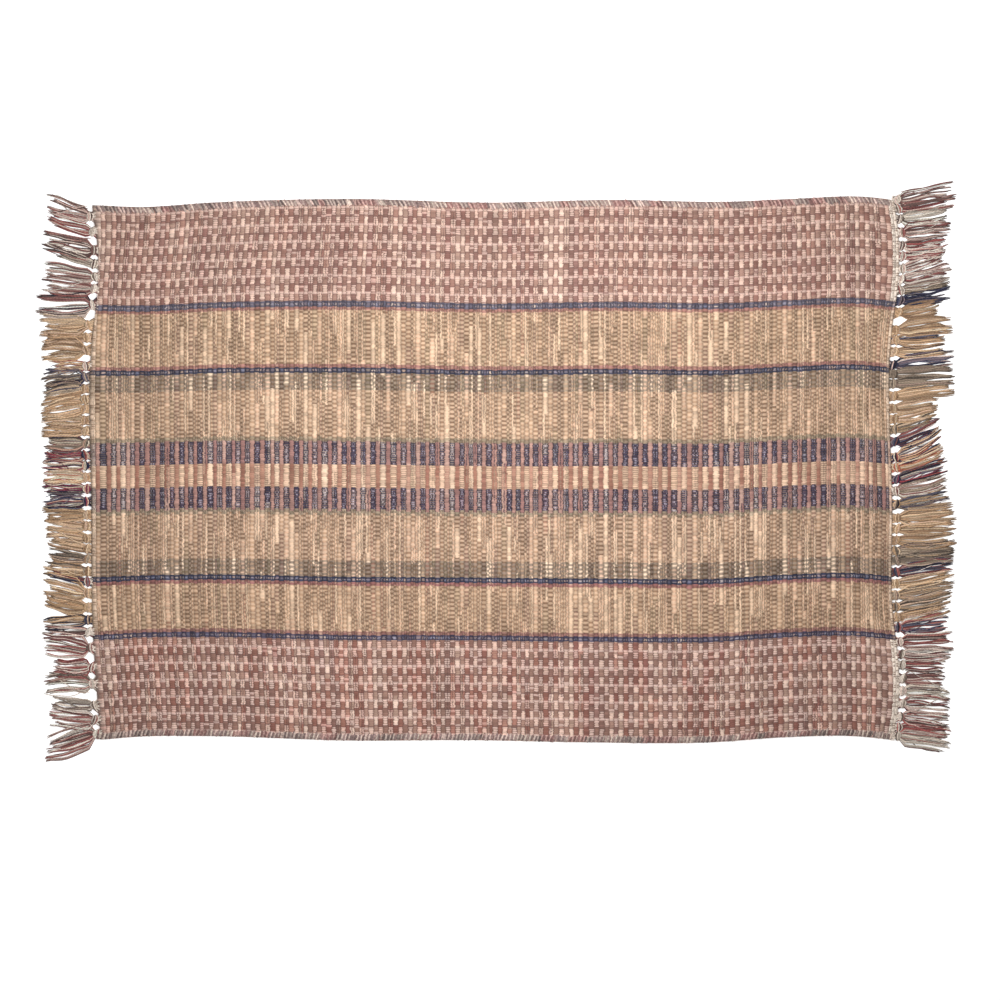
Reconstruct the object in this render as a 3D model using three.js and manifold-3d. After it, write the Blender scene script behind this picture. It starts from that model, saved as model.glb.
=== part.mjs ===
import * as THREE from "three";
import { mergeVertices } from "three/addons/utils/BufferGeometryUtils.js";
import Module from "manifold-3d";

// A rag rug lying flat: one ribbed cloth, and the knotted warp ends of each short side as a comb.
// Millimetres. X runs along the rug, Y across it, Z up, and the underside is at z = 0.

// Cloth
const RIB_PITCH = 5.48; // one rag pick
const RIB_COUNT = 166; // a little more than the cloth is long, then cut to the outline
const RIB_CREST = 2.6; // width of the flat top of a rib
const GROOVE_HEIGHT = 3.8; // thickness of the cloth at a groove
const CREST_HEIGHT = 5.0; // thickness of the cloth at a rib
const CLOTH_REACH = 660; // how far the uncut ribs run across

// Fringe
const GAP = 0.3; // between the cloth's end and the comb
const SPINE_WIDTH = 2.2;
const SPINE_HEIGHT = 2.4;
const STRAND_HEIGHT = 2.4; // thickness of a tassel where it lies spread out
const KNOT = { out: 7.5, length: 9, width: 8.4, height: 4.6, crown: 0.55 }; // crown: its top against its foot
const NECK_WIDTH = 5;
const SPREAD_FROM = 0.58; // the share of its length at which a tassel has spread out
const TASSEL_BEND = 1.3; // 1 is a straight tassel, more turns away later
const TIP_NOTCH = 3; // how ragged the end of a tassel is

// The four edges of the cloth, from its middle. Each is a smooth line through a few points.
const FAR_EDGE = [
  { x: -453, y: 300 },
  { x: -400, y: 298 },
  { x: -320, y: 303 },
  { x: -165, y: 307 },
  { x: -8, y: 303 },
  { x: 130, y: 306 },
  { x: 262, y: 304 },
  { x: 330, y: 307 },
  { x: 420, y: 309 },
  { x: 445, y: 306 },
];
const RIGHT_END = [
  { x: 446, y: 306 },
  { x: 451, y: 270 },
  { x: 450, y: 200 },
  { x: 445.5, y: 170 },
  { x: 444.5, y: -43 },
  { x: 446, y: -170 },
  { x: 450, y: -200 },
  { x: 451, y: -270 },
  { x: 446, y: -298 },
];
const NEAR_EDGE = [
  { x: 444, y: -301 },
  { x: 400, y: -297 },
  { x: 330, y: -298 },
  { x: 240, y: -304 },
  { x: 100, y: -304 },
  { x: -30, y: -301.5 },
  { x: -165, y: -302 },
  { x: -330, y: -297 },
  { x: -400, y: -297.5 },
  { x: -444, y: -301 },
];
const LEFT_END = [
  { x: -446, y: -298 },
  { x: -450, y: -250 },
  { x: -454, y: -190 },
  { x: -456, y: -43 },
  { x: -454, y: 165 },
  { x: -450, y: 194 },
  { x: -449, y: 255 },
  { x: -455, y: 298 },
];

// One row for each tassel, from the far corner to the near one: the knot's place across the rug,
// the tip's place across it, how far the tip is from the rug's middle, and the width at the tip.
const TASSEL_COLUMNS = ["root", "tip", "reach", "spread"];
const LEFT_TASSELS = [
  [287, 301, 507, 14], [270, 284, 507, 9], [249, 262, 513, 17], [233, 249, 495, 7],
  [219, 227, 510, 12], [206, 211, 513, 12], [188, 187, 519, 20], [165, 165, 516, 16],
  [151, 151, 514, 9], [137, 136, 513, 16], [119, 118, 501, 7], [107, 102, 514, 18],
  [94, 84, 513, 13], [82, 72, 514, 8], [71, 65, 513, 9], [58, 57, 513, 9],
  [46, 46, 514, 10], [32, 33, 511, 14], [19, 17, 510, 8], [7, 8, 513, 10],
  [-6, -7, 511, 10], [-19, -19, 513, 9], [-33, -35, 512, 11], [-48, -49, 512, 9],
  [-61, -58, 506, 10], [-75, -69, 508, 9], [-87, -75, 506, 6], [-98, -92, 505, 8],
  [-112, -107, 511, 9], [-124, -112, 507, 5], [-137, -125, 511, 18], [-153, -141, 510, 12],
  [-166, -171, 511, 10], [-180, -178, 512, 7], [-198, -191, 512, 18], [-220, -219, 500, 15],
  [-238, -240, 510, 16], [-263, -259, 505, 9], [-279, -275, 504, 15], [-294, -313.5, 509, 21],
];
const RIGHT_TASSELS = [
  [306, 318, 517, 12], [296, 306, 517, 10], [284, 292, 507, 12], [269, 276, 511, 12],
  [254, 261, 507, 10], [242, 252, 508, 7], [228, 244, 504, 9], [216, 228, 512, 9],
  [204, 215, 510, 9], [192, 201, 511, 10], [179, 186, 498, 12], [159, 167, 513, 13],
  [148, 151, 506, 9], [135, 140, 508, 9], [120, 127, 515, 12], [110, 112, 515, 8],
  [99, 103, 517, 9], [85, 95, 515, 8], [71, 79, 498, 9], [59, 69, 496, 8],
  [47, 62, 492, 7], [33, 56, 498, 9], [15, 42, 501, 14], [4, 24, 504, 10],
  [-9, 9, 507, 10], [-22, -7, 507, 13], [-37, -26, 510, 10], [-52, -46, 515, 14],
  [-64, -61, 517, 11], [-77, -74, 519, 9], [-89, -84, 516, 9], [-100, -93, 514, 10],
  [-113, -104, 514, 10], [-126, -114, 515, 8], [-139, -128, 515, 11], [-152, -139, 513, 9],
  [-164, -149, 511, 8], [-175, -167, 511, 14], [-191, -190, 514, 12], [-205, -204, 511, 10],
  [-217, -218, 505, 9], [-232, -234, 506, 13], [-246, -250, 510, 11], [-260, -264, 510, 14],
  [-275, -281, 511, 12], [-287, -292, 511, 8], [-296, -305, 511, 15],
];

const EDGE_STEPS = { long: 30, short: 16 }; // straight pieces that an edge line is cut into

const cottonMauve = new THREE.MeshStandardMaterial({ color: 0xb9917f, roughness: 0.95, metalness: 0 });
const fringeTan = new THREE.MeshStandardMaterial({ color: 0xa98a68, roughness: 0.95, metalness: 0 });
const fringeBrown = new THREE.MeshStandardMaterial({ color: 0x9c7f63, roughness: 0.95, metalness: 0 });

const wasm = await Module();
wasm.setup();

function toSolid(geometry) {
  const bare = geometry.index ? geometry.toNonIndexed() : geometry.clone();
  bare.deleteAttribute("normal");
  bare.deleteAttribute("uv");
  const merged = mergeVertices(bare, 1e-4);
  return new wasm.Manifold(
    new wasm.Mesh({
      numProp: 3,
      vertProperties: merged.attributes.position.array,
      triVerts: new Uint32Array(merged.index.array),
    }),
  );
}

function toGeometry(solid) {
  const mesh = solid.getMesh();
  const geometry = new THREE.BufferGeometry();
  geometry.setAttribute("position", new THREE.BufferAttribute(mesh.vertProperties, 3));
  geometry.setIndex(new THREE.BufferAttribute(mesh.triVerts, 1));
  geometry.computeVertexNormals();
  return geometry;
}

// A flat piece of the given outline, standing on z = 0.
function plate(points, height) {
  return new THREE.ExtrudeGeometry(new THREE.Shape(points), { depth: height, bevelEnabled: false });
}

function smoothLine(rows, steps) {
  const curve = new THREE.SplineCurve(rows.map((row) => new THREE.Vector2(row.x, row.y)));
  return curve.getPoints(steps);
}

function clothOutline() {
  return [
    ...smoothLine(NEAR_EDGE, EDGE_STEPS.long).reverse(),
    ...smoothLine(RIGHT_END, EDGE_STEPS.short).reverse(),
    ...smoothLine(FAR_EDGE, EDGE_STEPS.long).reverse(),
    ...smoothLine(LEFT_END, EDGE_STEPS.short).reverse(),
  ];
}

// Section of the cloth along X: a flat underside, and ribs with grooves between them on top.
function ribSection() {
  const start = (-RIB_COUNT * RIB_PITCH) / 2;
  const points = [];
  for (let i = 0; i < RIB_COUNT; i++) {
    const middle = start + (i + 0.5) * RIB_PITCH;
    points.push(
      new THREE.Vector2(middle - RIB_PITCH / 2, GROOVE_HEIGHT),
      new THREE.Vector2(middle - RIB_CREST / 2, CREST_HEIGHT),
      new THREE.Vector2(middle + RIB_CREST / 2, CREST_HEIGHT),
    );
  }
  points.push(
    new THREE.Vector2(-start, GROOVE_HEIGHT),
    new THREE.Vector2(-start, 0),
    new THREE.Vector2(start, 0),
  );
  return points.reverse();
}

function rugBody() {
  const ribs = plate(ribSection(), CLOTH_REACH);
  ribs.rotateX(Math.PI / 2);
  ribs.translate(0, CLOTH_REACH / 2, 0);
  const cutter = plate(clothOutline(), 2 * CREST_HEIGHT);
  cutter.translate(0, 0, -CREST_HEIGHT / 2);
  return toGeometry(toSolid(ribs).intersect(toSolid(cutter)));
}

// How far the cloth's end is from the rug's middle at a place across it.
function endAt(line, y) {
  const low = line.findIndex((p, i) => i + 1 < line.length && (p.y - y) * (line[i + 1].y - y) <= 0);
  if (low < 0) {
    const nearest = Math.abs(line[0].y - y) < Math.abs(line.at(-1).y - y) ? line[0] : line.at(-1);
    return nearest.x;
  }
  const a = line[low];
  const b = line[low + 1];
  return a.x + ((b.x - a.x) * (y - a.y)) / (b.y - a.y);
}

// The strip that holds the tassels together, along the cloth's end.
function spine(line, side) {
  const inner = line.map((p) => new THREE.Vector2(p.x + side * GAP, p.y));
  const outer = line.map((p) => new THREE.Vector2(p.x + side * (GAP + SPINE_WIDTH), p.y));
  return plate([...inner, ...outer.reverse()], SPINE_HEIGHT);
}

// A knot is a four-sided bump that narrows upwards.
function knot(x, y) {
  const bump = new THREE.CylinderGeometry(KNOT.crown, 1, KNOT.height, 4);
  bump.rotateY(Math.PI / 4);
  bump.rotateX(Math.PI / 2);
  bump.scale(KNOT.length / Math.SQRT2, KNOT.width / Math.SQRT2, 1);
  bump.translate(x, y, KNOT.height / 2);
  return bump;
}

// A tassel lying flat: a neck at the cloth, then strands that spread towards a ragged tip.
function strands(line, side, row) {
  const start = { x: endAt(line, row.root) + side * (GAP + SPINE_WIDTH / 2), y: row.root };
  const tip = { x: side * row.reach, y: row.tip };
  const at = (share) => ({
    x: start.x + (tip.x - start.x) * share,
    y: start.y + (tip.y - start.y) * share ** TASSEL_BEND,
  });
  const stations = [
    { ...start, half: NECK_WIDTH / 2 },
    { ...at(SPREAD_FROM), half: Math.max(NECK_WIDTH, row.spread) / 2 },
  ];
  const upper = stations.map((s) => new THREE.Vector2(s.x, s.y + s.half));
  const lower = stations.map((s) => new THREE.Vector2(s.x, s.y - s.half));
  const ragged = [
    new THREE.Vector2(tip.x, tip.y + row.spread / 2),
    new THREE.Vector2(tip.x - side * TIP_NOTCH, tip.y),
    new THREE.Vector2(tip.x, tip.y - row.spread / 2),
  ];
  return plate([...upper, ...ragged, ...lower.reverse()], STRAND_HEIGHT);
}

function fringeComb(line, side, tassels) {
  let comb = toSolid(spine(line, side));
  for (const values of tassels) {
    const row = Object.fromEntries(TASSEL_COLUMNS.map((name, i) => [name, values[i]]));
    const knotX = endAt(line, row.root) + side * KNOT.out;
    comb = comb.add(toSolid(strands(line, side, row))).add(toSolid(knot(knotX, row.root)));
  }
  return toGeometry(comb);
}

function named(name, geometry, material) {
  const mesh = new THREE.Mesh(geometry, material);
  mesh.name = name;
  return mesh;
}

const leftLine = smoothLine(LEFT_END, EDGE_STEPS.short);
const rightLine = smoothLine(RIGHT_END, EDGE_STEPS.short);

const rug = new THREE.Group();
rug.add(
  named("rug_body", rugBody(), cottonMauve),
  named("fringe_left", fringeComb(leftLine, -1, LEFT_TASSELS), fringeTan),
  named("fringe_right", fringeComb(rightLine, 1, RIGHT_TASSELS), fringeBrown),
);

// The rug's box is centred on the origin, with its underside at z = 0.
const centre = new THREE.Box3().setFromObject(rug).getCenter(new THREE.Vector3());
rug.position.set(-centre.x, -centre.y, 0);

export default rug;
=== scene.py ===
import math

import bpy
import numpy as np
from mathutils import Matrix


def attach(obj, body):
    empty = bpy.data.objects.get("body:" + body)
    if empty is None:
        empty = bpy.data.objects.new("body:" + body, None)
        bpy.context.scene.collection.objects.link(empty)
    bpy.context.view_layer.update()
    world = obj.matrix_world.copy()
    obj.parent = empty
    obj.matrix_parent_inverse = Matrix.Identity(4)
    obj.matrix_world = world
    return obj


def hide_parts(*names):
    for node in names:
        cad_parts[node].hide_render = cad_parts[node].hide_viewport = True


# A rag rug: ribbed cloth with blocks and stripes, weft turns along both long edges, and a knotted fringe at
# both ends. The frame is the CAD's: +X to the photo's right, +Y to its top, +Z up. Tables are in millimetres.

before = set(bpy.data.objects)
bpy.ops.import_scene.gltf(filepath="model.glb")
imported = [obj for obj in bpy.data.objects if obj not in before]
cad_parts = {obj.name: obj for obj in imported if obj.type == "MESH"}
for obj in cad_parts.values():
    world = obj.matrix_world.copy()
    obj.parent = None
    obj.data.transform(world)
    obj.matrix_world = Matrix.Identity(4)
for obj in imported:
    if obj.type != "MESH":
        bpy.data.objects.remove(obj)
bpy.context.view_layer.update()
MM = 0.001

# Sizes of the weave. Its map counts picks across and millimetres along.

PICKS = 166  # each is seen as one rib
END_PICK = 0.62  # width of the pale picks at both ends, where the others are 1
FLOAT_PITCH = 2.4  # from one warp to the next on a rib
BLOCK_ROW = 9.6  # a row of blocks in the borders
WARP_SHIFT = 0.8  # how far odd picks' warps lie further out, and even picks' further in
PAIR_STRETCH = 70.0  # a pick stays one rag, or two thin ones, for this far
SHORT_RAG, LONG_RAG = 32.0, 162.0  # stretches of one rag
INNER_BORDER = 190.3  # where the borders' blocks start, from the middle
OUTER_LINES = 187.2  # the navy lines by the borders, from the middle
INNER_LINES = 117.4  # the navy lines by the khaki stripes, from their own middle
INNER_MIDDLE = -4.5
TEETH_MIDDLE = -5.6  # of the two rows of teeth and the peach blocks between them
TEETH_STRETCH = 0.045  # how much longer the teeth of odd picks are
STRETCH_FADES, STRETCH_ENDS = 48.0, 56.0  # from the teeth's middle
LOW_EDGE, HIGH_EDGE = -302.6, 304.9  # the ends of the map's length
CLOTH_START, CLOTH_REACH = -453.5, 901.0  # left end and length of the cloth
END_ZONE = 40.0  # how far in from its ends the cloth follows their outline
GROOVE_TOP, CREST_TOP = 3.8, 4.85
LOWEST = 0.02  # how far above the floor everything lies
GROOVE_UNDER, CREST_UNDER = 0.75, LOWEST
EDGE_TOP, EDGE_UNDER = 2.4, 2.2  # where the two faces meet at the long edges

# The cloth's outline, as in part.mjs. Columns: x, y

FAR_EDGE = [
    (-453, 300), (-400, 298), (-320, 303), (-165, 307), (-8, 303),
    (130, 306), (262, 304), (330, 307), (420, 309), (445, 306),
]
NEAR_EDGE = [
    (-444, -301), (-400, -297.5), (-330, -297), (-165, -302), (-30, -301.5),
    (100, -304), (240, -304), (330, -298), (400, -297), (444, -301),
]
RIGHT_END = [
    (446, -298), (451, -270), (450, -200), (446, -170), (444.5, -43),
    (445.5, 170), (450, 200), (451, 270), (446, 306),
]
LEFT_END = [
    (-446, -298), (-450, -250), (-454, -190), (-456, -43), (-454, 165),
    (-450, 194), (-449, 255), (-455, 298),
]

# The stripes, near side to far side.
# Columns: start y, weave, show, warp over even picks, warp over odd picks.
# Show is how much the rag shows. Its limits below tell the kinds of stripe apart.

BLOCK, PLAIN = 1.0, 0.0
STRIPES = [
    (-310.0, BLOCK, 0.56, (144, 108, 100), (230, 198, 187)),  # near border
    (-189.9, PLAIN, 0.08, (75, 70, 89), (87, 80, 99)),  # navy line
    (-184.1, PLAIN, 0.3, (152, 108, 102), (164, 122, 112)),  # red line
    (-180.0, PLAIN, 0.66, (213, 181, 153), (209, 177, 149)),  # tan
    (-128.8, PLAIN, 0.3, (156, 106, 102), (164, 114, 110)),  # red line
    (-124.8, PLAIN, 0.08, (60, 61, 80), (72, 73, 93)),  # navy line
    (-118.9, PLAIN, 0.55, (154, 136, 119), (145, 127, 113)),  # khaki
    (-100.7, PLAIN, 0.66, (216, 184, 158), (212, 180, 154)),  # tan
    (-47.8, PLAIN, 0.3, (160, 142, 122), (166, 148, 127)),  # olive line
    (-43.3, BLOCK, 0.34, (60, 58, 80), (166, 124, 121)),  # navy teeth
    (-18.6, BLOCK, 0.6, (230, 195, 168), (166, 116, 100)),  # peach blocks
    (6.75, BLOCK, 0.34, (64, 62, 84), (170, 127, 123)),  # navy teeth
    (32.1, PLAIN, 0.3, (163, 144, 122), (169, 150, 127)),  # olive line
    (36.6, PLAIN, 0.66, (220, 188, 160), (216, 184, 156)),  # tan
    (90.6, PLAIN, 0.55, (162, 144, 125), (152, 134, 119)),  # khaki
    (109.9, PLAIN, 0.08, (66, 66, 82), (78, 78, 95)),  # navy line
    (115.7, PLAIN, 0.3, (166, 118, 110), (174, 126, 118)),  # red line
    (119.8, PLAIN, 0.66, (220, 188, 159), (216, 184, 155)),  # tan
    (180.6, PLAIN, 0.3, (168, 120, 110), (176, 128, 118)),  # red line
    (184.1, PLAIN, 0.08, (94, 89, 103), (108, 103, 117)),  # navy line
    (190.7, BLOCK, 0.5, (152, 115, 107), (233, 199, 186)),  # far border
]
NAVY_LIMIT, TEETH_LIMIT, KHAKI_LOW, KHAKI_HIGH = 0.2, 0.4, 0.5, 0.6
RAMP_STEPS = 32.0  # as many as a colour ramp holds

# The rags of the picks. Columns: share of the picks, colour

RAGS = [
    (0.16, (242, 213, 185)),
    (0.13, (226, 188, 162)),
    (0.18, (200, 166, 138)),
    (0.20, (160, 126, 101)),
    (0.17, (121, 91, 72)),
    (0.07, (146, 112, 100)),
    (0.02, (166, 120, 102)),
    (0.05, (144, 125, 99)),
]

# Single colours of the weave, as light values

SOFT_RAG = (0.5, 0.33, 0.21)  # mixed into the rags of the tan stripes
WARM = (1.05, 0.985, 0.94)  # tints them between the warps, where they lie in painted shade
SHADOW = (0.22, 0.12, 0.07)  # beside each pick
SLATE = (0.22, 0.24, 0.34)  # dots of the navy lines
SPECK = (0.46, 0.45, 0.58)  # specks of the navy teeth
REDDISH = (1.0, 0.62, 0.58)  # tints some picks of the borders
CREAM, BORDER_CREAM = (0.86, 0.66, 0.5), (0.98, 0.84, 0.72)  # header picks
CREAM_MARK = (0.24, 0.14, 0.09)  # marks on them

# Yarn colours of the fringe by kind of tassel: m, b, g and x beside the borders, t tan, k khaki, n navy,
# c beside the teeth, p beside the peach blocks

YARNS = {
    "m": [
        (240, 226, 214), (232, 208, 196), (220, 188, 176), (160, 104, 98), (144, 88, 84),
        (122, 92, 86), (104, 82, 77), (208, 182, 172), (244, 230, 216), (172, 128, 120),
    ],
    "b": [(166, 94, 90), (138, 80, 78), (180, 118, 110), (232, 202, 190), (116, 76, 73), (240, 224, 212)],
    "g": [(218, 204, 189), (240, 228, 214), (174, 157, 143), (124, 108, 97), (204, 189, 175)],
    "x": [(52, 50, 62), (230, 208, 196), (138, 92, 90), (164, 116, 110), (98, 82, 76), (242, 228, 216)],
    "t": [
        (216, 183, 149), (201, 165, 129), (228, 200, 168), (187, 150, 117), (219, 186, 160),
        (171, 137, 107),
    ],
    "k": [(162, 143, 125), (134, 118, 103), (183, 163, 143), (110, 97, 86), (167, 141, 127)],
    "n": [(44, 44, 68), (64, 64, 88), (100, 98, 114), (48, 40, 52), (140, 122, 128)],
    "c": [(42, 42, 68), (134, 62, 82), (222, 206, 186), (152, 72, 70), (106, 96, 98), (216, 172, 152)],
    "p": [(238, 208, 176), (222, 180, 148), (196, 114, 92), (244, 224, 200), (204, 160, 120)],
}

# The tassels, far corner to near corner. Columns: root y, tip y, reach of the tip, spread, kinds of yarn

LEFT_TASSELS = [
    (287, 301, 507, 14, "m"), (270, 284, 507, 9, "b"), (249, 262, 513, 17, "mm"),
    (233, 249, 495, 7, "g"), (219, 227, 510, 12, "m"), (206, 211, 513, 12, "m"),
    (188, 187, 519, 20, "x"), (165, 165, 516, 16, "t"), (151, 151, 514, 9, "t"),
    (137, 136, 513, 16, "t"), (119, 118, 501, 7, "bt"), (107, 102, 514, 18, "nk"),
    (94, 84, 513, 13, "kt"), (82, 72, 514, 8, "t"), (71, 65, 513, 9, "t"), (58, 57, 513, 9, "t"),
    (46, 46, 514, 10, "t"), (32, 33, 511, 14, "kc"), (19, 17, 510, 8, "c"), (7, 8, 513, 10, "c"),
    (-6, -7, 511, 10, "p"), (-19, -19, 513, 9, "c"), (-33, -35, 512, 11, "nc"),
    (-48, -49, 512, 9, "t"), (-61, -58, 506, 10, "t"), (-75, -69, 508, 9, "t"),
    (-87, -75, 506, 6, "t"), (-98, -92, 505, 8, "kt"), (-112, -107, 511, 9, "kt"),
    (-124, -112, 507, 5, "bn"), (-137, -125, 511, 18, "t"), (-153, -141, 510, 12, "t"),
    (-166, -171, 511, 10, "nt"), (-180, -178, 512, 7, "m"), (-198, -191, 512, 18, "bm"),
    (-220, -219, 500, 15, "b"), (-238, -240, 510, 16, "gm"), (-263, -259, 505, 9, "gm"),
    (-279, -275, 504, 15, "mb"), (-294, -313.5, 509, 21, "m"),
]
RIGHT_TASSELS = [
    (306, 318, 517, 12, "m"), (296, 306, 517, 10, "mb"), (284, 292, 507, 12, "g"),
    (269, 276, 511, 12, "m"), (254, 261, 507, 10, "bm"), (242, 252, 508, 7, "mb"),
    (228, 244, 504, 9, "m"), (216, 228, 512, 9, "m"), (204, 215, 510, 9, "gk"),
    (192, 201, 511, 10, "n"), (179, 186, 498, 12, "t"), (159, 167, 513, 13, "t"),
    (148, 151, 506, 9, "tttn"), (135, 140, 508, 9, "t"), (120, 127, 515, 12, "nnm"),
    (110, 112, 515, 8, "k"), (99, 103, 517, 9, "k"), (85, 95, 515, 8, "t"), (71, 79, 498, 9, "t"),
    (59, 69, 496, 8, "t"), (47, 62, 492, 7, "tk"), (33, 56, 498, 9, "nb"),
    (15, 42, 501, 14, "nnbp"), (4, 24, 504, 10, "p"), (-9, 9, 507, 10, "nc"),
    (-22, -7, 507, 13, "mk"), (-37, -26, 510, 10, "knt"), (-52, -46, 515, 14, "t"),
    (-64, -61, 517, 11, "t"), (-77, -74, 519, 9, "t"), (-89, -84, 516, 9, "tk"),
    (-100, -93, 514, 10, "k"), (-113, -104, 514, 10, "nb"), (-126, -114, 515, 8, "t"),
    (-139, -128, 515, 11, "tk"), (-152, -139, 513, 9, "tk"), (-164, -149, 511, 8, "t"),
    (-175, -167, 511, 14, "nb"), (-191, -190, 514, 12, "bm"), (-205, -204, 511, 10, "m"),
    (-217, -218, 505, 9, "mb"), (-232, -234, 506, 13, "m"), (-246, -250, 510, 11, "g"),
    (-260, -264, 510, 14, "mb"), (-275, -281, 511, 12, "mb"), (-287, -292, 511, 8, "bm"),
    (-296, -305, 511, 15, "gggb"),
]

# Sizes of the tassels

KNOT_OUT, BORDER_KNOT_OUT = 6.5, 5.2  # from the cloth's end to the middle of a knot
ROOT_IN = 1.2  # how far the roots reach into the cloth
TASSEL_BEND = 1.3
LAYERS, LAYER_RISE = 3, 1.15  # strands lie in layers, one on the other
HELD_END = 10.5  # how far out the knot still lifts the strands
MOST_STRANDS = 34
KNOT_WRAPS, KNOT_WIDTH, WRAP_STEP = 5, 5.4, 1.9
PALE_WRAP, PALE_WARP = (236, 220, 206), (238, 222, 208)
BLUNT_END = 0.55  # how much a strand narrows at its cut ends
STRAND_SHIFT = 17.0  # from the yarn of one strand to that of the next
CELL_EDGE, CELL_SIDE = 0.06, 0.88  # of each strand's cell in the bake map

# Tassels of plain yarn, and the others. Columns: half the width in the knot, how much the spread is widened,
# strands to a millimetre, strands to a lock, scatter of the locks' tips, their swing, where they are widest

PLAIN_STYLE = (3.9, 1.5, 1.45, 5.0, 0.1, 1.5, 0.24)
MIXED_STYLE = (3.4, 1.4, 1.2, 3.6, 0.2, 2.1, 0.16)

# The picks' turns at the long edges. Each pair of colours takes turns for a short stretch.

TURN_PAIRS = [
    [(216, 192, 181), (158, 133, 129)],
    [(208, 182, 172), (162, 135, 131)],
    [(196, 158, 150), (150, 112, 107)],
    [(224, 203, 189), (170, 145, 138)],
    [(192, 172, 162), (138, 118, 114)],
]
TURNS_START, TURNS_END = -449.0, 444.0

# The studio, in metres and watts

CAMERA_PLACE = (0.0034, -0.0315, 6.0)
CAMERA_FIELD = 1.125  # the width of the picture on the floor
CAMERA_REACH = 100  # past the floor's far corners
SENSOR = 36  # in millimetres
LAMP_SIZE = 0.6
LAMPS = [("lamp", 8.7, (0.05, 0.18, 0.85)), ("fill", 1.5, (-0.32, -0.34, 0.8))]
ROOM_LIGHT = 0.24
FLOOR_GLOW = 0.56
FLOOR_HALF = 40.0


def linear(colour):
    """A colour given as 0 to 255 on the screen, as the light values that the nodes take."""
    parts = [c / 255 for c in colour]
    return tuple(p / 12.92 if p <= 0.04045 else ((p + 0.055) / 1.055) ** 2.4 for p in parts)


def smooth_through(at, places, values):
    """A smooth line through a table's points, read at the given places."""
    places, values = np.array(places, float), np.array(values, float)
    slopes = np.gradient(values, places)
    at = np.clip(at, places[0], places[-1])
    i = np.clip(np.searchsorted(places, at) - 1, 0, len(places) - 2)
    width = places[i + 1] - places[i]
    t = (at - places[i]) / width
    start = (1 + 2 * t) * (1 - t) ** 2 * values[i] + t * (1 - t) ** 2 * width * slopes[i]
    end = t * t * (3 - 2 * t) * values[i + 1] - t * t * (1 - t) * width * slopes[i + 1]
    return start + end


def far_y(x):
    return smooth_through(x, *zip(*FAR_EDGE))


def near_y(x):
    return smooth_through(x, *zip(*NEAR_EDGE))


def left_x(y):
    return smooth_through(y, [p[1] for p in LEFT_END], [p[0] for p in LEFT_END])


def right_x(y):
    return smooth_through(y, [p[1] for p in RIGHT_END], [p[0] for p in RIGHT_END])


def ease(value, low, high):
    """0 below low, 1 above high and a smooth rise between them."""
    t = np.clip((value - low) / (high - low), 0, 1)
    return t * t * (3 - 2 * t)


# Materials


class Wire:
    """A number on its way through a material, so that nodes can be written as sums."""

    def __init__(self, board, socket):
        self.board = board
        self.socket = socket

    def __add__(self, other):
        return self.board.math("ADD", self, other)

    def __sub__(self, other):
        return self.board.math("SUBTRACT", self, other)

    def __rsub__(self, other):
        return self.board.math("SUBTRACT", other, self)

    def __mul__(self, other):
        return self.board.math("MULTIPLY", self, other)

    def __truediv__(self, other):
        return self.board.math("DIVIDE", self, other)

    __radd__ = __add__
    __rmul__ = __mul__

    def floor(self):
        return self.board.math("FLOOR", self)

    def part(self):
        return self.board.math("FRACT", self)

    def size(self):
        return self.board.math("ABSOLUTE", self)

    def power(self, n):
        return self.board.math("POWER", self, n)

    def above(self, other):
        return self.board.math("GREATER_THAN", self, other)

    def even_or_odd(self):
        return self.board.math("FLOORED_MODULO", self, 2.0)

    def wave(self):
        return self.board.math("SINE", self * (2 * math.pi))

    def most(self, other):
        return self.board.math("MAXIMUM", self, other)

    def least(self, other):
        return self.board.math("MINIMUM", self, other)


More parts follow.
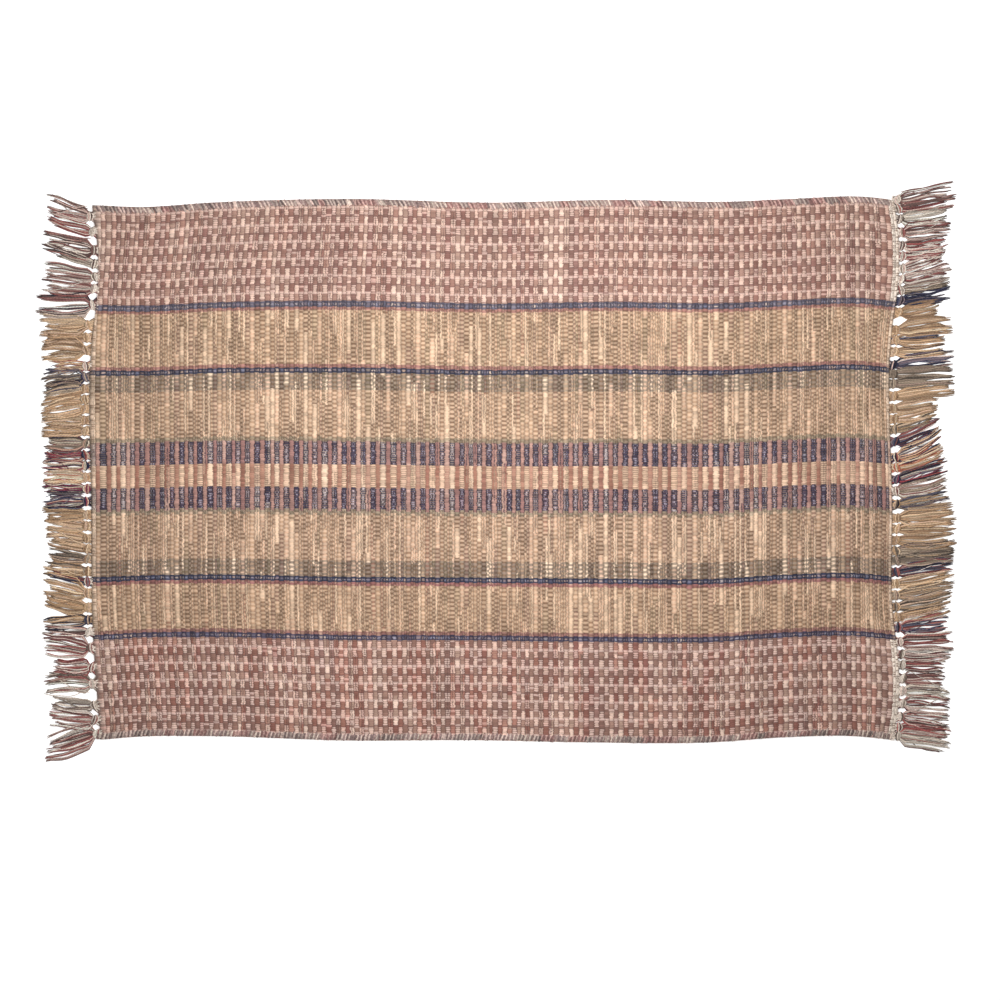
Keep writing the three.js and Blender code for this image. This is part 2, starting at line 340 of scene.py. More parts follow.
class Board:
    """The nodes of one material."""

    def __init__(self, name):
        self.material = bpy.data.materials.new(name)
        self.material.use_nodes = True
        self.tree = self.material.node_tree
        self.shader = self.tree.nodes["Principled BSDF"]

    def node(self, kind, **settings):
        made = self.tree.nodes.new(kind)
        for key, value in settings.items():
            setattr(made, key, value)
        return made

    def feed(self, socket, value):
        if isinstance(value, Wire):
            value = value.socket
        if isinstance(value, bpy.types.NodeSocket):
            self.tree.links.new(value, socket)
        elif isinstance(value, tuple):
            socket.default_value = (*value, 1.0) if len(socket.default_value) == 4 else value
        else:
            socket.default_value = value

    def math(self, operation, *values):
        made = self.node("ShaderNodeMath", operation=operation)
        for socket, value in zip(made.inputs, values):
            self.feed(socket, value)
        return Wire(self, made.outputs[0])

    def place(self, uv_name):
        """The two numbers of a UV map."""
        uv = self.node("ShaderNodeUVMap", uv_map=uv_name)
        parts = self.node("ShaderNodeSeparateXYZ")
        self.feed(parts.inputs[0], uv.outputs[0])
        return Wire(self, parts.outputs[0]), Wire(self, parts.outputs[1])

    def point(self, x, y, z=0.0):
        made = self.node("ShaderNodeCombineXYZ")
        for socket, value in zip(made.inputs, (x, y, z)):
            self.feed(socket, value)
        return made.outputs[0]

    def chance(self, x, y, z=0.0):
        """A number from 0 to 1 for each place. The last number keeps one use of it from another."""
        made = self.node("ShaderNodeTexWhiteNoise", noise_dimensions="3D")
        self.feed(made.inputs["Vector"], self.point(x, y, z))
        return Wire(self, made.outputs["Value"])

    def cloud(self, place, scale, detail=2.0):
        """Soft noise about 0.5."""
        made = self.node("ShaderNodeTexNoise", noise_dimensions="3D")
        self.feed(made.inputs["Vector"], place)
        self.feed(made.inputs["Scale"], scale)
        self.feed(made.inputs["Detail"], detail)
        return Wire(self, made.outputs["Fac"])

    def ease(self, value, low, high):
        """0 below low, 1 above high and a smooth rise between them."""
        made = self.node("ShaderNodeMapRange", interpolation_type="SMOOTHSTEP")
        for socket, number in zip(made.inputs, (value, low, high)):
            self.feed(socket, number)
        return Wire(self, made.outputs[0])

    def between(self, share, start, end):
        """start where share is 0, end where it is 1."""
        if isinstance(start, Wire) or isinstance(end, Wire):
            return start + share * (end - start)
        return share * (end - start) + start

    def steps(self, value, stops):
        """Plain steps of colour. Each stop is its start, its colour and a number carried as alpha."""
        ramp = self.node("ShaderNodeValToRGB")
        ramp.color_ramp.interpolation = "CONSTANT"
        spots = ramp.color_ramp.elements
        for n, (start, colour, alpha) in enumerate(stops):
            spot = spots[n] if n < 2 else spots.new(start)
            spot.position = start
            spot.color = (*linear(colour), alpha)
        self.feed(ramp.inputs[0], value)
        return ramp.outputs[0], Wire(self, ramp.outputs[1])

    def mix(self, share, a, b, blend="MIX"):
        made = self.node("ShaderNodeMix", data_type="RGBA", blend_type=blend)
        self.feed(made.inputs[0], share)
        self.feed(made.inputs[6], a)
        self.feed(made.inputs[7], b)
        return made.outputs[2]

    def shade(self, colour, brightness):
        """A colour times a number."""
        made = self.node("ShaderNodeVectorMath", operation="SCALE")
        self.feed(made.inputs[0], colour)
        self.feed(made.inputs["Scale"], brightness)
        return made.outputs[0]

    def bump(self, height):
        """Height in metres."""
        made = self.node("ShaderNodeBump")
        self.feed(made.inputs["Strength"], 1.0)
        self.feed(made.inputs["Distance"], 1.0)
        self.feed(made.inputs["Height"], height)
        self.feed(self.shader.inputs["Normal"], made.outputs[0])

    def finish(self, colour, roughness=0.92, specular=0.2, sheen=0.12):
        self.feed(self.shader.inputs["Base Color"], colour)
        self.feed(self.shader.inputs["Roughness"], roughness)
        self.feed(self.shader.inputs["Specular IOR Level"], specular)
        self.feed(self.shader.inputs["Sheen Weight"], sheen)
        self.feed(self.shader.inputs["Sheen Roughness"], 0.5)
        return self.material


def stripe_colours(b, place):
    """The warps over even and odd picks, whether the stripe has blocks, and how much its rags show."""
    number = place.above(STRIPES[1][0])
    for stripe in STRIPES[2:]:
        number = number + place.above(stripe[0])
    number = (number + 0.5) / RAMP_STEPS
    even_stops = [(n / RAMP_STEPS, stripe[3], stripe[1]) for n, stripe in enumerate(STRIPES)]
    odd_stops = [(n / RAMP_STEPS, stripe[4], stripe[2]) for n, stripe in enumerate(STRIPES)]
    even_warp, block = b.steps(number, even_stops)
    odd_warp, show = b.steps(number, odd_stops)
    return even_warp, odd_warp, block, show


def rag_colours(b, draw):
    """The rag that a draw from 0 to 1 falls on, and how light it is."""
    total = sum(share for share, _ in RAGS)
    starts = np.cumsum([0.0] + [share / total for share, _ in RAGS])[:-1]
    stops = [(float(start), colour, linear(colour)[1]) for start, (_, colour) in zip(starts, RAGS)]
    return b.steps(draw, stops)


def weave_material():
    """The cloth, drawn pick by pick and warp by warp from its weave map."""
    # in b.between(block, p, q), p is for plain stripes and q for stripes of blocks
    b = Board("rag_weave")
    across, along = b.place("Weave")
    # nothing runs quite straight
    across = across + (b.cloud(b.point(across * 0.9, along * 0.22), 1.0) - 0.5) * 0.34
    across = across + (b.chance((across + 0.5).floor(), (along / 1.2).floor(), 4.0) - 0.5) * 0.2
    along = along + (b.cloud(b.point(across * 0.45, along * 0.16, 5.0), 1.0) - 0.5) * 2.2
    rib = across.floor()
    spot = across - rib
    odd = rib.even_or_odd()
    parity = odd * 2.0 - 1.0
    # the stripe at this place, which reaches a little further out on odd picks near the teeth
    border = (along.size() - INNER_BORDER).above(0.0)
    from_middle = along - TEETH_MIDDLE
    longer = odd * (1.0 - b.ease(from_middle.size(), STRETCH_FADES, STRETCH_ENDS)) * TEETH_STRETCH
    even_warp, odd_warp, block, show = stripe_colours(b, along + parity * 0.3 - from_middle * longer)
    plain = 1.0 - block
    tan = plain * show.above(KHAKI_HIGH)
    khaki = plain * show.above(KHAKI_LOW) * (1.0 - show.above(KHAKI_HIGH))
    teeth_zone = block * (1.0 - show.above(TEETH_LIMIT))
    navy_line = 1.0 - show.above(NAVY_LIMIT)
    # a pick here and there is two thin rags side by side
    rare = b.between(block, 0.46, 0.82)
    paired = b.chance(rib, (along / PAIR_STRETCH + b.chance(rib, 2.0)).floor(), 3.0).above(rare)
    half = (spot * 2.0).floor() * paired
    spot = b.between(paired, spot, (spot * 2.0).part())
    edge = ((spot - 0.5) * 2.0).size()
    # rows of blocks, and the warp that each block shows
    staggered = along.size() - parity * WARP_SHIFT
    uneven_rows = (b.chance(rib, (along / BLOCK_ROW).floor(), 13.0) - 0.5) * 0.7
    rows = (staggered + uneven_rows - INNER_BORDER) / BLOCK_ROW
    turned = (rib + rows.floor().most(0.0)).even_or_odd()
    warp = b.mix(turned, even_warp, odd_warp)
    # the warps that lie over this rib, one behind the other
    near_count = (staggered - INNER_BORDER) / FLOAT_PITCH
    far_count = (along.size() - INNER_BORDER) / (2 * FLOAT_PITCH) + (odd + half) * 0.5
    count = b.between(block, far_count, near_count)
    number = count.floor()
    across_float = ((count - number - 0.5) * 2.0).size()
    # each rag keeps its colour for a stretch of its pick
    rag_number = rib + half * 0.4
    length = b.chance(rib, 11.0).power(2.0) * (LONG_RAG - SHORT_RAG) + SHORT_RAG
    stretch = (along / length + b.chance(rib, 7.0) * 9.0).floor()
    rag, bright = rag_colours(b, b.chance(rag_number, stretch, 5.0))
    rag = b.mix(tan * 0.16, rag, SOFT_RAG)
    # blocks of the odd warp are a little narrower
    edge = edge * (1.0 + turned * block * 0.16)
    warp = b.mix(edge.above(1.0), warp, even_warp)
    flank = b.ease(edge, b.between(block, 0.3, 0.5), b.between(block, 0.8, 1.0))
    squareness = edge.power(2.0) * b.between(block, 0.1, 0.2)
    from_there = b.between(block, 0.38, 0.5)
    gap = b.ease(across_float + squareness, from_there, from_there + b.between(block, 0.3, 0.4))
    gap = gap * (1.0 - b.ease(edge, 0.55, 1.0) * plain * 0.3)
    shadow = b.shade(b.mix(0.3, even_warp, SHADOW), 0.36)
    # the rag tints the warps over it
    tint = b.between(block, b.ease(show, 0.45, 0.7) * 0.34, b.ease(show, 0.3, 0.5) * 0.13 + 0.06)
    tint = tint + teeth_zone * odd * 0.2
    colour = b.mix(tint * (1.0 - flank * 0.8), warp, rag)
    # the flanks of each rib are darkened in plain stripes: painted shade
    colour = b.shade(colour, 1.0 - flank * b.between(block, 0.2, 0.0))
    # and shows between them, most in pale blocks: the odd warp's in the borders, the even warp's elsewhere
    pale = (turned - (1.0 - border)).size()
    in_block = show * b.between(pale, 0.75, 1.6)
    between_warps = b.mix(b.between(block, b.ease(show, 0.05, 0.6) * 0.85, in_block), warp, rag)
    # where the rag shows between the warps it takes painted shadow at the rib's flanks
    between_warps = b.mix(flank * b.between(block, 0.5, 0.4), between_warps, shadow)
    # and is darkened as painted shade in the recess, dark rags most, which also sharpens the rags' contrast;
    # in tan stripes that painted shade is warmed
    between_warps = b.shade(between_warps, b.between(block, bright * 0.4 + 0.68, 0.94))
    between_warps = b.mix(tan, between_warps, WARM, "MULTIPLY")
    between_warps = b.shade(between_warps, khaki * (bright - 0.22) * 0.55 + 1.0)
    colour = b.mix(gap * b.between(block, 0.94, 0.78), colour, between_warps)
    # painted shadow in the grooves along both sides of each rib
    sides = b.ease(edge, b.between(block, 0.6, 0.62), 1.0)
    colour = b.mix(sides * b.between(block, 0.25, 0.4), colour, shadow)
    # pale dots along the middle of each navy line
    outer_line = (along.size() - OUTER_LINES).size()
    inner_line = ((along - INNER_MIDDLE).size() - INNER_LINES).size()
    off_line = outer_line.least(inner_line) + (b.chance(rag_number, 4.0) - 0.5) * 0.9
    dots = (1.0 - b.ease(off_line.size(), 0.4, 1.5)) * (1.0 - b.ease(edge, 0.3, 0.85))
    dots = dots * navy_line * b.between(b.chance(rib, stretch, 18.0), 0.35, 1.0)
    slate = b.mix(b.between(b.chance(rag_number, stretch, 8.0), 0.1, 0.8), SLATE, rag)
    colour = b.mix(dots, colour, slate)
    # two like warps meet between the rows of blocks, as a thin dark or pale line
    meeting = (rows + 0.5).floor()
    line = (1.0 - b.ease((rows - meeting).size() * BLOCK_ROW, 0.2, 1.1)) * border
    line_colour = b.mix(meeting.even_or_odd(), b.shade(even_warp, 0.66), b.shade(odd_warp, 0.88))
    colour = b.mix(line * 0.75, colour, line_colour)
    # pale specks along the navy teeth, in three lanes
    teeth = teeth_zone * (1.0 - turned)
    lane = spot * 3.0
    specks = b.chance(rib * 3.0 + lane.floor(), number, 17.0).above(0.55)
    specks = specks * (1.0 - b.ease(edge, 0.5, 0.85)) * teeth
    specks = specks * (1.0 - b.ease((lane.part() - 0.5).size(), 0.2, 0.5))
    specks = specks * (1.0 - b.ease(across_float, 0.4, 0.9))
    colour = b.mix(specks * 0.9, colour, b.mix(0.4, SPECK, rag))
    # the navy teeth darken towards each rib's edges: painted shade
    colour = b.shade(colour, 1.0 - teeth * b.ease(edge, 0.5, 0.9) * 0.4)
    # threads differ, and a few are the other warp's
    stray = b.chance(rib, number, 6.0).above(0.965) * border
    colour = b.mix(stray * 0.6, colour, b.mix(turned, odd_warp, even_warp))
    uneven = (b.chance(rib, number, 2.0) - 0.5) * b.between(border, 0.42, 0.26) + 1.0
    by_pick = b.chance(rib, stretch, 9.0) * 0.14 + 0.93
    fibres = b.cloud(b.point(across * 2.6, along * 1.1), 1.0, 3.0) * 0.36 + 0.82
    patches = b.cloud(b.point(across * 0.06, along * 0.011), 1.0) * 0.14 + 0.93
    colour = b.shade(colour, uneven * by_pick * fibres * patches)
    reddish = b.chance(rag_number, stretch, 15.0).above(0.62) * border * (1.0 - turned * 0.6)
    colour = b.mix(reddish * b.between(along.above(0.0), 0.5, 0.2), colour, REDDISH, "MULTIPLY")
    # the pale header picks at both ends, with the dark marks of the warps between them
    header = across.above(PICKS - 1.0 - border).most((1.0 - across.above(1.0)) * b.between(border, 0.8, 0.2))
    header = header * b.between(border, (show * 1.25).least(1.0), 1.0)
    mark = along / FLOAT_PITCH
    marks = b.chance(rib, mark.floor(), 21.0).above(0.52)
    marks = marks * (1.0 - b.ease((mark.part() - 0.5).size(), 0.22, 0.45)) * (1.0 - b.ease(edge, 0.5, 0.9))
    cream = b.mix(marks * 0.8, b.mix(border, CREAM, BORDER_CREAM), CREAM_MARK)
    # the header picks darken at their sides: painted shade
    cream = b.shade(cream, (1.0 - sides * 0.3) * uneven)
    colour = b.mix(header, colour, cream)
    # each float is an arch, paired rags are rounder, and the yarn is fuzzy; in metres
    roundness = 1.0 - edge.least(1.0).power(2.0)
    arch = (1.0 - across_float.power(2.0)) * (1.0 - edge.least(1.0).power(4.0))
    fuzz = b.cloud(b.point(across * 6.0, along * 3.0), 1.0, 2.0)
    b.bump(arch * 0.0004 + roundness * paired * 0.0004 + fuzz * 0.00015)
    return b.finish(colour)


def yarn_material(name):
    """Twisted cotton yarn. A strand's colour is in its points. Its map is its length and which way is up."""
    b = Board(name)
    tint = b.node("ShaderNodeVertexColor", layer_name="yarn").outputs["Color"]
    along, up = b.place("Strand")
    ply = (along / 3.6 + up * 0.22).wave() * 0.5 + 0.5
    fibres = b.cloud(b.point(along * 1.4, up * 2.0), 1.0, 3.0)
    slubs = b.cloud(b.point(along * 0.12, up * 0.1), 1.0)
    # each strand is lighter on top and darker on its sides and underside: painted shade
    low = b.ease(up, -0.6, 0.9) * 0.5 + 0.5
    colour = b.shade(tint, low * (ply * 0.24 + 0.85) * (fibres * 0.3 + 0.85) * (slubs * 0.3 + 0.85))
    b.bump(ply * 0.0003 + fibres * 0.00015)
    return b.finish(colour)


def floor_material():
    """Pale paper, lit evenly enough to stay white."""
    b = Board("pale_floor")
    x, y = b.place("Floor")
    grain = b.cloud(b.point(x, y), 40.0)
    tone = grain * 0.02 + 0.9
    made = b.node("ShaderNodeCombineColor")
    for socket in made.inputs:
        b.feed(socket, tone)
    b.feed(b.shader.inputs["Emission Color"], (1.0, 1.0, 1.0))
    b.feed(b.shader.inputs["Emission Strength"], FLOOR_GLOW)
    return b.finish(made.outputs[0], roughness=0.9, specular=0.1, sheen=0.0)


# Meshes


def piece(name, points, faces, material):
    """A mesh from points in millimetres."""
    mesh = bpy.data.meshes.new(name)
    mesh.from_pydata((points * MM).tolist(), [], faces)
    mesh.materials.append(material)
    mesh.shade_smooth()
    made = bpy.data.objects.new(name, mesh)
    bpy.context.scene.collection.objects.link(made)
    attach(made, "root")
    return made


def give_map(made, name, of_points):
    """A UV map from a pair of numbers for each point."""
    layer = made.data.uv_layers.new(name=name)
    corners = np.zeros(len(made.data.loops), np.int32)
    made.data.loops.foreach_get("vertex_index", corners)
    layer.data.foreach_set("uv", np.asarray(of_points, np.float32)[corners].ravel())


def quads(a, b, c, d):
    """Faces of four corners, from four grids of point numbers."""
    return np.stack([a.ravel(), b.ravel(), c.ravel(), d.ravel()], 1)


def closed_faces(rows, columns):
    """The faces of two sheets of points, one over the other, joined all round."""
    top = np.arange(rows * columns).reshape(rows, columns)
    under = top + rows * columns
    return np.concatenate([
        quads(top[:-1, :-1], top[:-1, 1:], top[1:, 1:], top[1:, :-1]),
        quads(under[:-1, :-1], under[1:, :-1], under[1:, 1:], under[:-1, 1:]),
        quads(under[0, :-1], under[0, 1:], top[0, 1:], top[0, :-1]),
        quads(top[-1, :-1], top[-1, 1:], under[-1, 1:], under[-1, :-1]),
        quads(top[:-1, 0], top[1:, 0], under[1:, 0], under[:-1, 0]),
        quads(under[:-1, -1], under[1:, -1], top[1:, -1], top[:-1, -1]),
    ]).tolist()


def laid_out(s, v, q):
    """Where the cloth lies, from the share of its length, the place along its picks and the share of that."""
    # picks lean near the long edges, most at the left, and the ends keep their own outline
    place = s * CLOTH_REACH
    lean_far = np.interp(s, [0, 0.03, 0.1, 0.28, 0.42, 0.7, 0.9, 1], [5, 5.5, 7, 5, 1.4, 1, -1, -1])
    lean_near = np.interp(s, [0, 0.03, 0.1, 0.28, 0.45, 0.8, 0.95, 1], [8, 8, 8, 5, 0.8, 1, 2, 2])
    lean = lean_far * ease(v, 195, 300) + lean_near * ease(-v, 100, 303) ** 1.3
    x = CLOTH_START + place + lean * ease(CLOTH_REACH - place, 0, END_ZONE)
    x = x + 0.4 * (left_x(v) - CLOTH_START) * ease(-place, -END_ZONE, 0)
    x = x + (right_x(v) - CLOTH_START - CLOTH_REACH) * ease(place, CLOTH_REACH - END_ZONE, CLOTH_REACH)
    # the left end cuts across the first pick
    x = np.maximum(x, left_x(v) + 0.03 * place)
    x[:, 0] = left_x(v[:, 0])
    y = near_y(x) + q * (far_y(x) - near_y(x))
    y = y + 1.6 * np.exp(-(((x + 430) / 110) ** 2)) * np.sin(math.pi * q)
    return x, y


def cloth(rng):
    """The woven cloth, closed, with ribs on both faces."""
    widths = 1 + 0.1 * rng.standard_normal(PICKS).clip(-1.6, 1.6)
    widths[0] = END_PICK
    widths[-2:] = END_PICK
    starts = np.concatenate([[0], np.cumsum(widths)])
    starts /= starts[-1]
    steps = np.array([0, 0.25, 0.5, 0.75])
    across = np.concatenate([(np.arange(PICKS)[:, None] + steps).ravel(), [PICKS]])
    share = np.interp(across, np.arange(PICKS + 1), starts)
    inside = np.linspace(LOW_EDGE + 2.5, HIGH_EDGE - 2.5, 66)
    along = np.concatenate([[LOW_EDGE, LOW_EDGE + 0.9], inside, [HIGH_EDGE - 0.9, HIGH_EDGE]])
    s, v = np.meshgrid(share, along)
    q = (v - LOW_EDGE) / (HIGH_EDGE - LOW_EDGE)
    x, y = laid_out(s, v, q)
    crest = 1 - np.abs(2 * (across - np.floor(across)) - 1) ** 2.2
    tall = np.repeat(rng.uniform(-0.12, 0.12, PICKS), len(steps))
    tall = np.concatenate([tall, [0]])
    rounding = ease(np.minimum(v - LOW_EDGE, HIGH_EDGE - v), -0.4, 3.2)
    wave = 0.14 * np.sin(x / 47 + 1) * np.sin(y / 61) + 0.1 * np.sin(x / 19 + y / 83)
    raised = GROOVE_TOP - EDGE_TOP + (CREST_TOP - GROOVE_TOP) * crest + tall * crest + wave
    sunk = EDGE_UNDER - GROOVE_UNDER + (GROOVE_UNDER - CREST_UNDER) * crest
    points = np.concatenate([
        np.stack([x, y, EDGE_TOP + raised * rounding], -1).reshape(-1, 3),
        np.stack([x, y, EDGE_UNDER - sunk * rounding], -1).reshape(-1, 3),
    ])
    made = piece("rug_cloth", points, closed_faces(*s.shape), weave_material())
    grid = np.stack([np.broadcast_to(across, s.shape), v], -1).reshape(-1, 2)
    give_map(made, "Weave", np.concatenate([grid, grid]))
    # in the bake map the face takes the whole width, and the back a smaller patch above it
    face = np.stack([s, q * 0.68], -1).reshape(-1, 2)
    back = np.stack([s * 0.46, 0.69 + q * 0.31], -1).reshape(-1, 2)
    give_map(made, "OFBake", np.concatenate([face, back]))
    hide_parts("rug_body")
    return made


class Strands:
    """Tubes gathered into one mesh, each with its own colour."""

    def __init__(self, sides=4):
        self.sides = sides
        self.points, self.faces, self.tints, self.places, self.cells = [], [], [], [], []
        self.count = 0  # of tubes so far

    def add(self, path, radius, tint, flat=1.0, wraps=False):
        """A tube along a path. flat squashes it.

        wraps is for a path that arches over something, so that its map still knows which way is up.
        """
        path = np.asarray(path, float)
        n, sides = len(path), self.sides
        ways = np.gradient(path, axis=0)
        ways /= np.linalg.norm(ways, axis=1)[:, None] + 1e-9
        side = np.cross([0, 0, 1.0], ways[0])
        if np.linalg.norm(side) < 0.2:
            side = np.array([0, 1.0, 0])
        frames = []
        for way in ways:
            side = side - way * np.dot(side, way)
            side = side / (np.linalg.norm(side) + 1e-9)
            frames.append((side, np.cross(way, side)))
        turn = np.arange(sides) / sides * 2 * math.pi
        sizes = np.broadcast_to(radius, (n,)).astype(float).copy()
        sizes[0] *= BLUNT_END
        sizes[-1] *= BLUNT_END
        way_up = -1.0 if wraps else 1.0
        rings = np.array([
            p + way_up * size * (np.cos(turn)[:, None] * a + np.sin(turn)[:, None] * c * flat)
            for p, size, (a, c) in zip(path, sizes, frames)
        ]).reshape(-1, 3)
        start = sum(len(p) for p in self.points)
        index = start + np.arange(n * sides).reshape(n, sides)
        ahead = np.roll(index, -1, axis=1)
        self.faces += quads(index[:-1], ahead[:-1], ahead[1:], index[1:]).tolist()
        self.faces += [index[0][::-1].tolist(), index[-1].tolist()]
        self.points.append(rings)
        self.tints += [tint] * (n * sides)
        length = np.concatenate([[0], np.cumsum(np.linalg.norm(np.diff(path, axis=0), axis=1))])
        # each strand starts elsewhere along the yarn
        length = length + STRAND_SHIFT * self.count
        self.places.append(np.stack([np.repeat(length, sides), np.tile(np.sin(turn), n)], 1))
        along, around = np.repeat(np.linspace(0, 1, n), sides), np.tile(np.arange(sides) / (sides - 1), n)
        self.cells.append(np.stack([np.full(n * sides, float(self.count)), along, around], 1))
        self.count += 1

    def build(self, name, material):
        points = np.concatenate(self.points)
        points[:, 2] = points[:, 2].clip(LOWEST)
        made = piece(name, points, self.faces, material)
        give_map(made, "Strand", np.concatenate(self.places))
        # one square cell of the bake map to each strand
        cell, along, around = np.concatenate(self.cells).T
        side = math.ceil(math.sqrt(self.count))
        row, column = np.divmod(cell, side)
        spots = np.stack([column + CELL_EDGE + CELL_SIDE * along, row + CELL_EDGE + CELL_SIDE * around], 1)
        give_map(made, "OFBake", spots / side)
        colours = np.array([(*linear(tint), 1.0) for tint in self.tints], np.float32)
        layer = made.data.color_attributes.new("yarn", "FLOAT_COLOR", "POINT")
        layer.data.foreach_set("color", colours.ravel())
        return made


def vary(rng, colour, amount):
    """A colour, a little lighter or darker."""
    return tuple(np.clip(np.array(colour) * (1 + rng.uniform(-amount, amount)), 0, 255))


def pick_yarn(rng, kinds):
    """A yarn colour by chance, of one of the given kinds."""
    palette = YARNS[kinds[rng.integers(len(kinds))]]
    return palette[rng.integers(len(palette))]


def tassel(strands, rng, side, root, tip, reach, spread, kinds, pitch):
    """One knotted tassel: warps from the cloth's end, a wrapped knot, then loose wavy strands in locks."""
    edge = abs(float(right_x(root) if side > 0 else left_x(root))) - ROOT_IN
    border = kinds[0] in "mbgx"
    style = PLAIN_STYLE if kinds[0] in "tkp" else MIXED_STYLE
    neck, widen, density, per_lock, scatter, swing, widest = style
    knot_out = BORDER_KNOT_OUT if border else KNOT_OUT
    total = reach - edge
    spread = spread * widen
    many = min(MOST_STRANDS, int(round(spread * density + 7)))
    locks = max(3, int(round(many / per_lock)))
    lock_start = np.linspace(-0.88, 0.88, locks) + rng.normal(0, 0.05, locks)
    lock_end = np.linspace(-0.88, 0.88, locks) + rng.normal(0, scatter, locks)
    lock_turns, lock_phase = rng.uniform(0.6, 1.5, locks), rng.random(locks)
    lock_swing = rng.uniform(0.4, swing, locks)
    lock_length = 1 - 0.16 * rng.random(locks) ** 2
    sway = rng.uniform(-2.8, 2.8) * math.cos(rng.random() * 3)
    closing = rng.uniform(0.72, 1.05)
    knot_y = root + (tip - root) * (knot_out / total) ** TASSEL_BEND
    for n in range(many):
        lock = n * locks // many
        place = n * locks / many - lock
        size = rng.uniform(0.54, 0.78)
        length = total * lock_length[lock] * (1 - 0.09 * rng.random() ** 2)
        out = np.concatenate([[0, 3.0, 6.5, 10.0], np.linspace(13.5, length, 9)])
        free = ((out - knot_out) / (total - knot_out)).clip(0, 1)
        before = (1 - out / knot_out).clip(0, 1)
        wide = ease(free, 0.0, widest)
        half = neck + (spread * 0.55 - neck) * wide * (1 - (1 - closing) * ease(free, 0.45, 1))
        lane = lock_start[lock] + (lock_end[lock] - lock_start[lock]) * free
        lane += (place - 0.4) * 2.0 / locks * (1 + rng.normal(0, 0.35) * free)
        wave = lock_swing[lock] * np.sin(2 * math.pi * (free * lock_turns[lock] + lock_phase[lock]))
        wave += rng.uniform(0.15, 0.6) * np.sin(2 * math.pi * (free * rng.uniform(1.5, 3.2) + rng.random()))
        wave = wave * free**0.6 + sway * np.sin(math.pi * free)
        root_lane = (n + 0.5) / many * 2 - 1
        tied = root_lane * (before * pitch * 0.45 + (1 - before) * neck)
        lateral = np.where(out < knot_out + 1.5, tied, lane * half + wave)
        y = root + (tip - root) * (out / total) ** TASSEL_BEND + lateral
        layer = rng.integers(LAYERS)
        lift = 0.6 * np.sin(6 * free + 6 * lock_phase[lock]).clip(0)
        rest = size + layer * LAYER_RISE * (1 - 0.45 * free) + lift
        held = 2.3 + (layer - 1.0) * 0.7
        z = np.where(out <= HELD_END, held, rest + (held - rest) * np.exp(-((out - HELD_END).clip(0)) / 9))
        thick = size * (1 + 0.12 * np.sin(13 * free + 9 * lock_phase[lock]))
        path = np.stack([side * (edge + out), y, z], 1)
        strands.add(path, thick, vary(rng, pick_yarn(rng, kinds), 0.16))
    stray_ends(strands, rng, side, edge, knot_y, knot_out, tip, total, spread, kinds)
    knot(strands, rng, side, edge, knot_y, knot_out, kinds, border)


def stray_ends(strands, rng, side, edge, knot_y, knot_out, tip, total, spread, kinds):
    """Single strands that bow out of their tassel or cross over it."""
    for _ in range(rng.integers(0, 4)):
        way = rng.choice([-1, 1])
        free = np.linspace(0.05, rng.uniform(0.7, 1.0), 13)
        out = knot_out + free * (total - knot_out)
        if rng.random() < 0.5:
            lateral = way * spread * rng.uniform(0.3, 0.55) * np.sin(math.pi * (free - 0.5))
            z = 3.2 - 0.9 * free
        else:
            bow = spread * 0.3 + rng.uniform(0.5, 3.0)
            lateral = way * (bow * np.sin(math.pi * free ** rng.uniform(0.7, 1.5)) + spread * 0.4 * free)
            z = 0.5 + 1.8 * np.exp(-free * 6)
        lateral += rng.uniform(0.3, 0.8) * np.sin(free * rng.uniform(8, 14))
        y = knot_y + (tip - knot_y) * free + lateral
        path = np.stack([side * (edge + out), y, z], 1)
        strands.add(path, 0.5, vary(rng, pick_yarn(rng, kinds), 0.16))


def knot(strands, rng, side, edge, middle, knot_out, kinds, border):
    """An overhand knot, as cords wrapped over the warps."""
    wraps = "gm" + kinds if border else kinds
    angle = np.linspace(-0.35 * math.pi, 1.35 * math.pi, 11)
    lean = rng.uniform(-0.35, 0.35)
    bow = rng.choice([-1, 1]) * 0.035
    for n in range(KNOT_WRAPS):
        place = n - KNOT_WRAPS // 2
        wide = KNOT_WIDTH * (1 - 0.07 * place**2) * rng.uniform(0.92, 1.08)
        y = np.cos(angle) * wide
        x = edge + knot_out + place * WRAP_STEP * (1 - 0.65 * (y / wide) ** 2) + lean * y + bow * y**2
        z = 2.35 + np.sin(angle) * (1.9 - 0.15 * abs(place))
        tint = PALE_WRAP if border and n % 2 == 0 and rng.random() < 0.7 else pick_yarn(rng, wraps)
        strands.add(np.stack([side * x, middle + y, z], 1), 0.9, vary(rng, tint, 0.1), flat=0.9, wraps=True)
    if border:
        # pale warps between the cloth and the knot
        for lane in rng.uniform(-4.5, 4.5, 5):
            x = np.array([-1.5, 0.6, 2.2, knot_out - 1.5])
            y = middle + lane * np.array([1.25, 1.0, 0.7, 0.4])
            z = np.array([4.0, 4.1, 3.9, 3.8])
            strands.add(np.stack([side * (edge + x), y, z], 1), 0.62, vary(rng, PALE_WARP, 0.1))


def fringe(name, node, side, tassels, rng, material):
    """All tassels of one end."""
    strands = Strands()
    pitches = np.abs(np.gradient([float(row[0]) for row in tassels]))
    for row, pitch in zip(tassels, pitches):
        tassel(strands, rng, side, *row, pitch)
    made = strands.build(name, material)
    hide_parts(node)
    return made


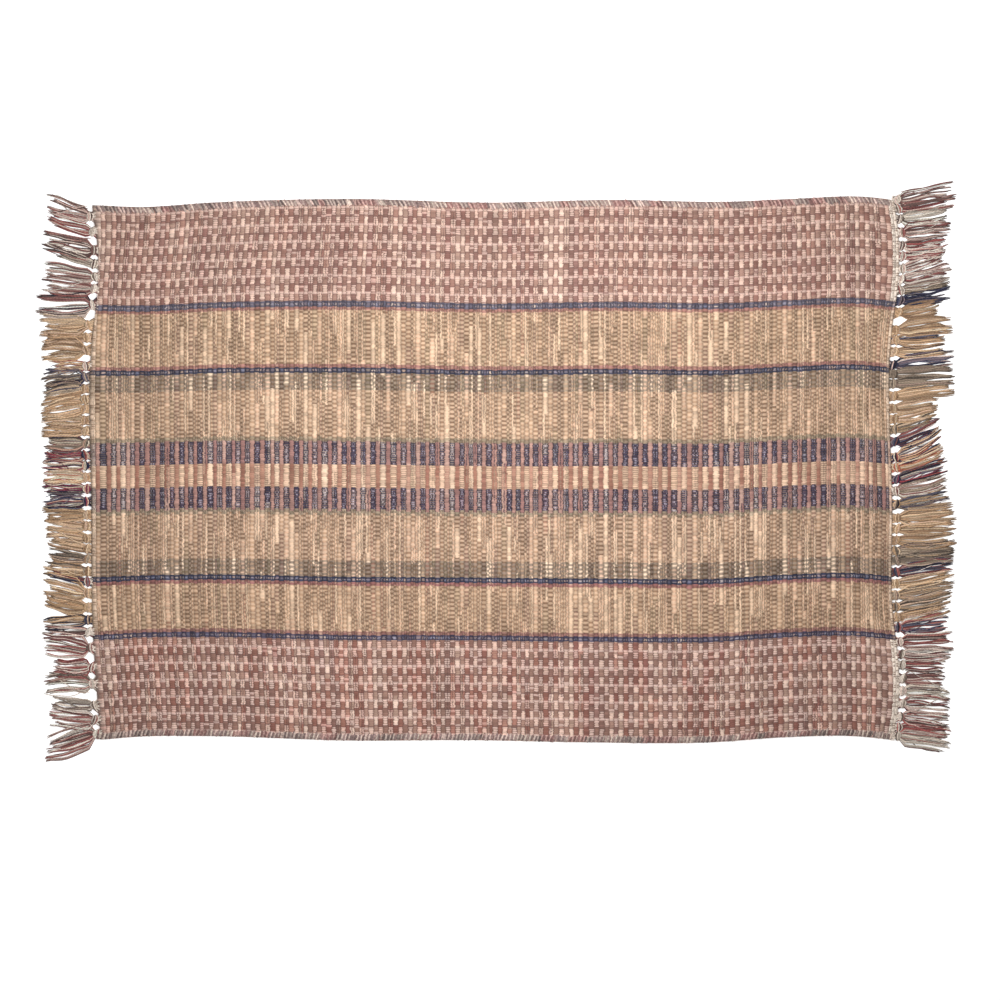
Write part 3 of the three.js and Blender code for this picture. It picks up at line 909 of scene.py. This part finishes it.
def weft_turns(name, edge_y, side, rng, material):
    """The picks' turns wrapped over a long edge, leaning one way."""
    strands = Strands(sides=6)
    # tone darkens the turns, the near ones most: painted shade
    tone, most_lean = (0.98, 2.4) if side > 0 else (0.92, 1.3)
    x = TURNS_START
    left = 0  # of the turns that share this pair of colours
    n = 0
    while x < TURNS_END:
        if left <= 0:
            pair = TURN_PAIRS[rng.integers(len(TURN_PAIRS))]
            left = rng.integers(3, 10)
        left -= 1
        n += 1
        lean = most_lean * rng.uniform(0.6, 1.4)
        size = rng.uniform(0.95, 1.4)
        y = float(edge_y(x)) - side * 0.6 + side * rng.uniform(-0.8, 0.5)
        inner = rng.uniform(-0.9, 0.6)
        path = [
            (x + lean, y - side * (7.0 + inner), 3.9),
            (x + lean * 0.55, y - side * (5.0 + inner * 0.5), 4.7 + rng.uniform(-0.3, 0.15)),
            (x, y - side * 2.6, 4.65),
            (x - lean * 0.5, y - side * 0.9, 3.9),
            (x - lean * 0.75, y - side * 0.2, 2.5),
            (x - lean * 0.5, y - side * 0.9, 1.2),
            (x + 0.4, y - side * 4.5, 0.8),
        ]
        tint = pair[n % 2] if rng.random() < 0.85 else pair[rng.integers(2)]
        strands.add(path, size, tuple(tone * c for c in vary(rng, tint, 0.15)), flat=0.8)
        x += rng.uniform(1.7, 2.8)
    return strands.build(name, material)


def soft_lamp(name, power, place):
    """A round lamp, facing down, that the camera can't see."""
    light = bpy.data.lights.new(name, "AREA")
    light.shape = "DISK"
    light.size = LAMP_SIZE
    light.energy = power
    hung = bpy.data.objects.new(name, light)
    hung.location = place
    hung.visible_camera = False
    bpy.context.scene.collection.objects.link(hung)


def studio():
    """Camera straight above, as in the photo, soft lamps over the rug, and a pale floor."""
    scene = bpy.context.scene
    scene.view_settings.view_transform = "Standard"
    scene.view_settings.look = "None"
    lens = bpy.data.cameras.new("camera")
    lens.sensor_width = SENSOR
    lens.lens = SENSOR * CAMERA_PLACE[2] / CAMERA_FIELD
    lens.clip_end = CAMERA_REACH
    camera = bpy.data.objects.new("camera", lens)
    camera.location = CAMERA_PLACE
    scene.collection.objects.link(camera)
    scene.camera = camera
    world = bpy.data.worlds.new("soft_room")
    world.use_nodes = True
    room = world.node_tree.nodes["Background"]
    room.inputs["Color"].default_value = (1.0, 1.0, 1.0, 1.0)
    room.inputs["Strength"].default_value = ROOM_LIGHT
    scene.world = world
    for name, power, place in LAMPS:
        soft_lamp(name, power, place)
    mesh = bpy.data.meshes.new("floor")
    corners = [(x * FLOOR_HALF, y * FLOOR_HALF, 0) for x, y in ((-1, -1), (1, -1), (1, 1), (-1, 1))]
    mesh.from_pydata(corners, [], [(0, 1, 2, 3)])
    floor = bpy.data.objects.new("floor", mesh)
    scene.collection.objects.link(floor)
    give_map(floor, "Floor", [(x, y) for x, y, _ in corners])
    mesh.materials.append(floor_material())


studio()
rug = cloth(np.random.default_rng(4))
selvedge_yarn = yarn_material("selvedge_yarn")
fringe_yarn = yarn_material("fringe_yarn")
far = weft_turns("weft_turns_far", far_y, 1, np.random.default_rng(11), selvedge_yarn)
near = weft_turns("weft_turns_near", near_y, -1, np.random.default_rng(12), selvedge_yarn)
left_draws, right_draws = np.random.default_rng(21), np.random.default_rng(22)
left = fringe("fringe_strands_left", "fringe_left", -1, LEFT_TASSELS, left_draws, fringe_yarn)
right = fringe("fringe_strands_right", "fringe_right", 1, RIGHT_TASSELS, right_draws, fringe_yarn)
